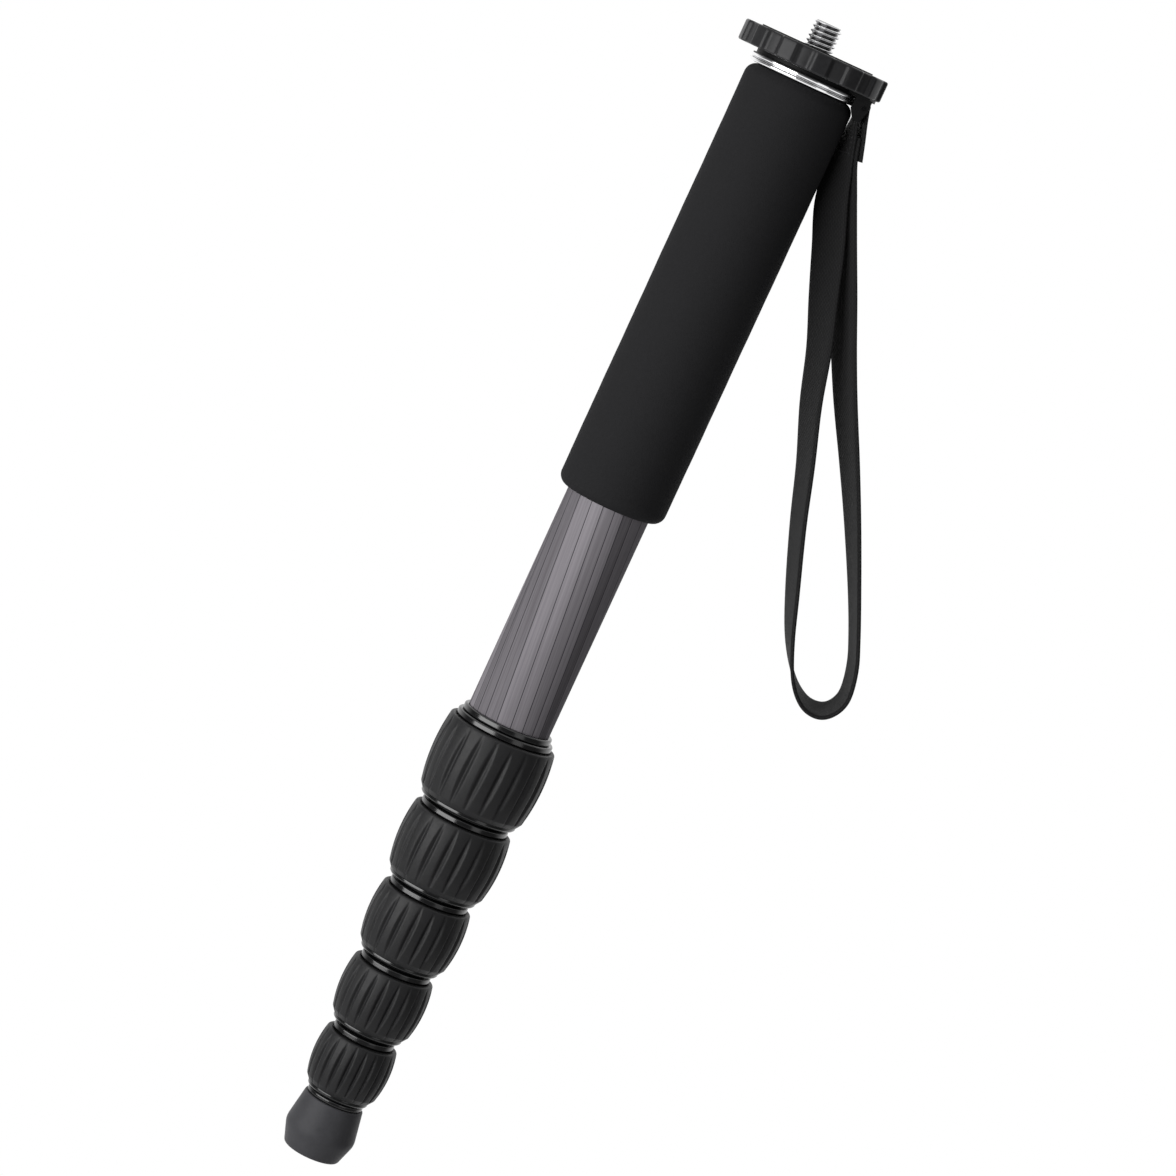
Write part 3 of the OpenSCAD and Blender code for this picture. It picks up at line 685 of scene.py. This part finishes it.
corner = [(foam_round * math.sin(bend), foam_round * math.cos(bend)) for bend in quarter]
shoulder_r, shoulder_top, shoulder_low = foam_r - foam_round, foam_top - foam_round, foam_bottom + foam_round
foam_straight = foam_top - foam_bottom - 2 * foam_round
foam_outline = [(foam_bore, foam_top)]
foam_outline += [(shoulder_r + s, shoulder_top + c) for s, c in corner]
foam_outline += [(foam_r, shoulder_top - foam_straight * i / foam_rows) for i in range(1, foam_rows)]
foam_outline += [(shoulder_r + c, shoulder_low - s) for s, c in corner]
foam_outline += [(foam_bore, foam_bottom)]
foam = turned("foam_sleeve", foam_outline, foam_sides)
for point in foam.data.vertices:
    across = Vector((point.co.x, point.co.y, 0))
    if across.length > (foam_bore + foam_skin) * MM:
        angle, up = math.atan2(across.y, across.x), point.co.z / MM
        swell = sum(size * math.sin(up * rise + lobes * angle + shift) for size, rise, lobes, shift in foam_swells)
        point.co -= across.normalized() * foam_unevenness * MM * (uneven_middle + uneven_share * swell)
foam.data.materials.append(foam_black)
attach(foam, "upper")
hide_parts("foam_grip")

# Wrist strap: one length of flat black nylon webbing. It runs from a sewn tail over the neck's pin,
# down, round the hand's loop and back up between the layers of the tail.
pin_at = Vector(next(j["pos_m"] for j in frame["joints"] if j["name"] == "strap_swing")) / MM
webbing_w, webbing_t = 15.0, 1.2
selvedge_in, selvedge_rise, selvedge_w = 0.12, 0.30, 0.45
webbing_dip, face_steps = 0.10, 10
yarn_w, yarn_l = 0.75, 1.5
yarn_end = 0.3
nylon_dark = (0.0115, 0.0115, 0.0118, 1)
nylon_pale = (0.0235, 0.0235, 0.0241, 1)
# Each point of the route, from the pin in millimetres: across, back, up, and the webbing's turn in degrees
route = [
    (3.3, 0, -16, 25), (2.3, 0, -8.5, 14), (1.9, 0, -4.2, 6), (1.5, 0, -0.2, 0),
    (1.2, 0, 1.15, 0), (0, 0, 1.65, 0), (-1.2, 0, 1.15, 0), (-1.5, 0, -0.2, 0),
    (-1, 0, -4.6, -6), (-0.4, 0, -9, -14), (0.3, 0, -16, -25), (2.9, 0, -30, -43),
    (8.4, 0, -44.5, -43), (13.7, 0, -59.5, -37), (19.2, 0, -74.5, -31), (24.2, 0, -91.5, -26),
    (30.7, 0, -109.5, -21), (36.7, 0, -128, -18), (44, 0, -148, -15), (49.8, 0, -162.5, -9),
    (55.8, 0, -173, 0), (61.8, 0, -178.5, 7), (67.3, 0, -179.5, 11), (71.3, 0, -177, 11),
    (73.3, 0, -171.5, 11), (71.8, 0, -162.5, 11), (68.3, 0, -153.5, 11), (61.8, 0, -139.5, 13),
    (52.3, 0, -120.5, 18), (43.3, 0, -103.5, 23), (34, 0, -86.5, 28), (26.9, 0, -72.5, 31),
    (19.4, 0, -57, 35), (12, 0, -42, 38), (5.9, 0, -28, 34), (2, 0, -17.3, 26),
    (0.95, 0, -9, 15),
]
steps_between = 7


def along_route(i, t):
    """A point of the smooth line through the route, as across, back, up and turn."""
    last = len(route) - 1
    a, b, c, d = [Vector(route[min(max(i + j, 0), last)]) for j in (-1, 0, 1, 2)]
    bend, twist = 2 * a - 5 * b + 4 * c - d, 3 * b - a - 3 * c + d
    return 0.5 * (2 * b + (c - a) * t + bend * t ** 2 + twist * t ** 3)


line = [along_route(i, s / steps_between) for i in range(len(route) - 1) for s in range(steps_between)]
line.append(Vector(route[-1]))
centres = [(pin_at + Vector(p[:3])) * MM for p in line]
gone = [0.0]
for before, after in zip(centres, centres[1:]):
    gone.append(gone[-1] + (after - before).length)
frames = []
for i, p in enumerate(line):
    ahead = (centres[min(i + 1, len(line) - 1)] - centres[max(i - 1, 0)]).normalized()
    inward = ahead.cross(Vector((0, 1, 0))).normalized()
    front = inward.cross(-ahead)
    turn = math.radians(p[3])
    edge = front * math.cos(turn) - inward * math.sin(turn)
    frames.append((edge, edge.cross(ahead)))
half_w, half_t = webbing_w / 2 * MM, webbing_t / 2 * MM
section = [(half_w, 0.0), (half_w - selvedge_in * MM, selvedge_rise * MM)]
for i in range(face_steps + 1):
    dip = 1 - webbing_dip * math.sin(math.pi * i / face_steps)
    section.append(((half_w - selvedge_w * MM) * (1 - 2 * i / face_steps), half_t * dip))
section += [(-half_w + selvedge_in * MM, selvedge_rise * MM), (-half_w, 0.0)]
section += [(w, -t) for w, t in reversed(section[1:-1])]
shell = bmesh.new()
lay = shell.loops.layers.uv.new("webbing")
rings = [
    [shell.verts.new(centre + edge * w + face * t) for w, t in section]
    for centre, (edge, face) in zip(centres, frames)
]
count = len(section)
for i in range(len(rings) - 1):
    for j in range(count):
        k = (j + 1) % count
        corners = ((i, j), (i, k), (i + 1, k), (i + 1, j))
        made = shell.faces.new([rings[a][b] for a, b in corners])
        made.smooth = True
        for loop, (a, b) in zip(made.loops, corners):
            loop[lay].uv = (section[b][0], gone[a])
for ring, far in ((rings[0], gone[0]), (rings[-1], gone[-1])):
    cap = shell.faces.new(ring)
    for loop, (w, t) in zip(cap.loops, section):
        loop[lay].uv = (w, far + t)
webbing = kept("wrist_webbing", shell)
nylon, tree, shader = new_finish("woven_nylon")
calc = partial(sums, tree)
sheet = tree.nodes.new("ShaderNodeUVMap")
sheet.uv_map = "webbing"
spot = parts_of(tree, sheet.outputs[0])
across = calc("ADD", calc("DIVIDE", spot[0], yarn_w * MM), 0.5)
row = calc("MULTIPLY", calc("FLOOR", across), 0.5)
down = calc("ADD", calc("DIVIDE", spot[1], yarn_l * MM), row)
hump = calc("SINE", calc("MULTIPLY", calc("FRACT", across), math.pi))
length_hump = calc("SINE", calc("MULTIPLY", calc("FRACT", down), math.pi))
weave = calc("MULTIPLY", hump, calc("ADD", calc("MULTIPLY", length_hump, 1 - yarn_end), yarn_end))
fuzz = grain(tree, place_on_piece(tree), scale=3000, detail=3)
shade = calc("MULTIPLY", weave, calc("ADD", fuzz, 0.5))
paint(tree, shader, tint(tree, shade, nylon_dark, nylon_pale), spread(tree, weave, 0, 1, 0.72, 0.55))
shader.inputs["Specular IOR Level"].default_value = 0.05
shader.inputs["Sheen Weight"].default_value = 0.07
shader.inputs["Sheen Roughness"].default_value = 0.45
relief(tree, shader, weave, depth=0.16 * MM, strength=0.5)
webbing.data.materials.append(nylon)
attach(webbing, "strap")
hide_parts("wrist_strap")

# Tail stitches: the webbing's layers are sewn together with black thread, in a box with a cross in
# it, on the outside of the tail and on the side by the grip.
stitch_space, stitch_l, thread_r = 1.5, 1.25, 0.22
stitch_sink = 0.02
stitch_segments, stitch_rings = 8, 6
box_across, box_steps = 5.4, 8
end_margin, inner_margin = 1.2, 1.0
grip_side = 9
thread_low = (0.020, 0.020, 0.021, 1)
thread_high = (0.045, 0.045, 0.047, 1)
thread_black, tree, shader, ply = mottled(
    "sewing_thread", thread_low, thread_high, rough=(0.40, 0.55), scale=6000, detail=2,
)
shader.inputs["Specular IOR Level"].default_value = 0.2
sewing, calc, given = start_tree("sew_line", "Space", "Length", "Radius")
lines = sewing.nodes.new("GeometryNodeMeshToCurve")
sewing.links.new(given["Mesh"], lines.inputs[0])
points = sewing.nodes.new("GeometryNodeResampleCurve")
points.mode = "LENGTH"
sewing.links.new(lines.outputs[0], points.inputs["Curve"])
sewing.links.new(given["Space"], points.inputs["Length"])
along = sewing.nodes.new("FunctionNodeAlignRotationToVector")
along.axis = "Z"
sewing.links.new(sewing.nodes.new("GeometryNodeInputTangent").outputs[0], along.inputs["Vector"])
bead = sewing.nodes.new("GeometryNodeMeshUVSphere")
bead.inputs["Segments"].default_value = stitch_segments
bead.inputs["Rings"].default_value = stitch_rings
bead.inputs["Radius"].default_value = 1.0
size = sewing.nodes.new("ShaderNodeCombineXYZ")
sewing.links.new(given["Radius"], size.inputs[0])
sewing.links.new(given["Radius"], size.inputs[1])
sewing.links.new(calc("MULTIPLY", given["Length"], 0.5), size.inputs[2])
stitched = sewing.nodes.new("GeometryNodeInstanceOnPoints")
sewing.links.new(points.outputs[0], stitched.inputs["Points"])
sewing.links.new(bead.outputs[0], stitched.inputs["Instance"])
sewing.links.new(along.outputs[0], stitched.inputs["Rotation"])
sewing.links.new(size.outputs[0], stitched.inputs["Scale"])
end_tree(sewing, given, stitched.outputs[0])


def on_webbing(distance, across, lift):
    """A point on the outside of the loop, so far along the webbing and across it."""
    i = max(j for j in range(len(gone)) if gone[j] <= distance)
    i = min(i, len(gone) - 2)
    t = (distance - gone[i]) / (gone[i + 1] - gone[i])
    edge = frames[i][0].lerp(frames[i + 1][0], t)
    face = frames[i][1].lerp(frames[i + 1][1], t)
    return centres[i].lerp(centres[i + 1], t) + edge * across * MM - face * lift * MM


seam = bmesh.new()
for first, last in (
    (gone[0] + end_margin * MM, gone[steps_between] + inner_margin * MM),
    (gone[grip_side * steps_between] - inner_margin * MM, gone[(grip_side + 1) * steps_between] - end_margin * MM),
):
    box = [(first, -box_across), (last, -box_across), (last, box_across), (first, box_across)]
    for start, end in ((0, 1), (1, 2), (2, 3), (3, 0), (0, 2), (1, 3)):
        (d0, a0), (d1, a1) = box[start], box[end]
        chain = []
        for s in range(box_steps + 1):
            distance, across = d0 + (d1 - d0) * s / box_steps, a0 + (a1 - a0) * s / box_steps
            chain.append(seam.verts.new(on_webbing(distance, across, webbing_t / 2 - stitch_sink)))
        for before, after in zip(chain, chain[1:]):
            seam.edges.new((before, after))
stitches = shaped(
    kept("tail_stitches", seam), sewing, thread_black,
    Space=stitch_space * MM, Length=stitch_l * MM, Radius=thread_r * MM,
)
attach(stitches, "strap")

# Studio: a pale floor well below the foot, a white surround that is dimmer behind the camera, a wide
# soft light at the left, a weaker one at the right, one overhead, and the photograph's camera.
WHITE = (1, 1, 1, 1)
floor_z, floor_half = -1.62, 2.2
floor_grey = (0.85, 0.85, 0.85, 1)
floor_glow, glow_share = 1.12, 0.85
room_light, front_wall = 0.14, 0.10
behind_start, behind_full = 0.10, 0.75
steep_start, steep_full = 0.20, 0.60


def mirrored_rays(tree, path):
    """One for a ray that comes by way of a reflection or through glass, and otherwise nothing."""
    return sums(tree, "MAXIMUM", path["Is Glossy Ray"], path["Is Transmission Ray"])


floor_mesh = bpy.data.meshes.new("floor")
corners = [(x * floor_half, y * floor_half, floor_z) for x, y in ((-1, -1), (1, -1), (1, 1), (-1, 1))]
floor_mesh.from_pydata(corners, [], [(0, 1, 2, 3)])
floor = add_piece("floor", floor_mesh)
floor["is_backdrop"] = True
pale, tree, shader = new_finish("pale_floor")
shader.inputs["Base Color"].default_value = floor_grey
shader.inputs["Roughness"].default_value = 0.9
path = tree.nodes.new("ShaderNodeLightPath").outputs
seen = sums(tree, "MAXIMUM", path["Is Camera Ray"], mirrored_rays(tree, path))
glow = tree.nodes.new("ShaderNodeEmission")
glow.inputs["Strength"].default_value = floor_glow
mixed = tree.nodes.new("ShaderNodeMixShader")
tree.links.new(sums(tree, "MULTIPLY", seen, glow_share), mixed.inputs[0])
tree.links.new(shader.outputs[0], mixed.inputs[1])
tree.links.new(glow.outputs[0], mixed.inputs[2])
tree.links.new(mixed.outputs[0], next(n for n in tree.nodes if n.type == "OUTPUT_MATERIAL").inputs[0])
floor_mesh.materials.append(pale)

world = bpy.data.worlds.new("white_surround")
bpy.context.scene.world = world
world.use_nodes = True
tree = world.node_tree
tree.nodes.clear()
path = tree.nodes.new("ShaderNodeLightPath").outputs
way = parts_of(tree, tree.nodes.new("ShaderNodeTexCoord").outputs["Generated"])
behind = spread(tree, way[1], behind_start, behind_full, 0, 1, smooth=True)
steep = spread(tree, sums(tree, "ABSOLUTE", way[2]), steep_start, steep_full, 0, 1, smooth=True)
mirrored = spread(tree, sums(tree, "MAXIMUM", behind, steep), 0, 1, front_wall, 1.0)
lit = spread(tree, mirrored_rays(tree, path), 0, 1, room_light, mirrored)
sky = tree.nodes.new("ShaderNodeBackground")
sky.inputs["Color"].default_value = WHITE
tree.links.new(spread(tree, path["Is Camera Ray"], 0, 1, lit, 1.0), sky.inputs["Strength"])
tree.links.new(sky.outputs[0], tree.nodes.new("ShaderNodeOutputWorld").inputs[0])

middle = Vector((0, 0, -0.2))
for name, around, up, away, wide, tall, glow_by in (
    ("left_softbox", -45, -2, 1.2, 1.25, 0.75, 5.0),
    ("right_softbox", 40, -2, 1.3, 0.55, 0.7, 0.9),
    ("top_softbox", 160, 50, 1.5, 1.2, 1.2, 0.3),
):
    lamp = bpy.data.lights.new(name, "AREA")
    lamp.shape = "RECTANGLE"
    lamp.size, lamp.size_y = wide, tall
    lamp.energy = glow_by * math.pi * wide * tall
    a, e = math.radians(around), math.radians(up)
    out_to = Vector((math.sin(a) * math.cos(e), -math.cos(a) * math.cos(e), math.sin(e)))
    facing = out_to.to_track_quat("Z", "Y").to_matrix().to_4x4()
    stand = add_piece(name, lamp)
    stand.matrix_world = Matrix.Translation(middle + out_to * away) @ facing

lens_mm, sensor_mm = 134.7, 36.0
clip_near, clip_far = 0.05, 100
camera_up, camera_lean, camera_away = math.radians(7.6), math.radians(24.75), 1.406
aim = Vector((0.00524, 0.0, -0.1855))
back = Vector((0, -math.cos(camera_up), math.sin(camera_up)))
level, plumb = Vector((1, 0, 0)), Vector((0, math.sin(camera_up), math.cos(camera_up)))
right = level * math.cos(camera_lean) + plumb * math.sin(camera_lean)
above = plumb * math.cos(camera_lean) - level * math.sin(camera_lean)
lens = bpy.data.cameras.new("photograph_camera")
lens.lens, lens.sensor_width = lens_mm, sensor_mm
lens.clip_start, lens.clip_end = clip_near, clip_far
camera = add_piece("photograph_camera", lens)
facing = Matrix((right, above, back)).transposed().to_4x4()
camera.matrix_world = Matrix.Translation(aim + back * camera_away) @ facing
bpy.context.scene.camera = camera
bpy.context.scene.view_settings.view_transform = "Standard"

low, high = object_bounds()
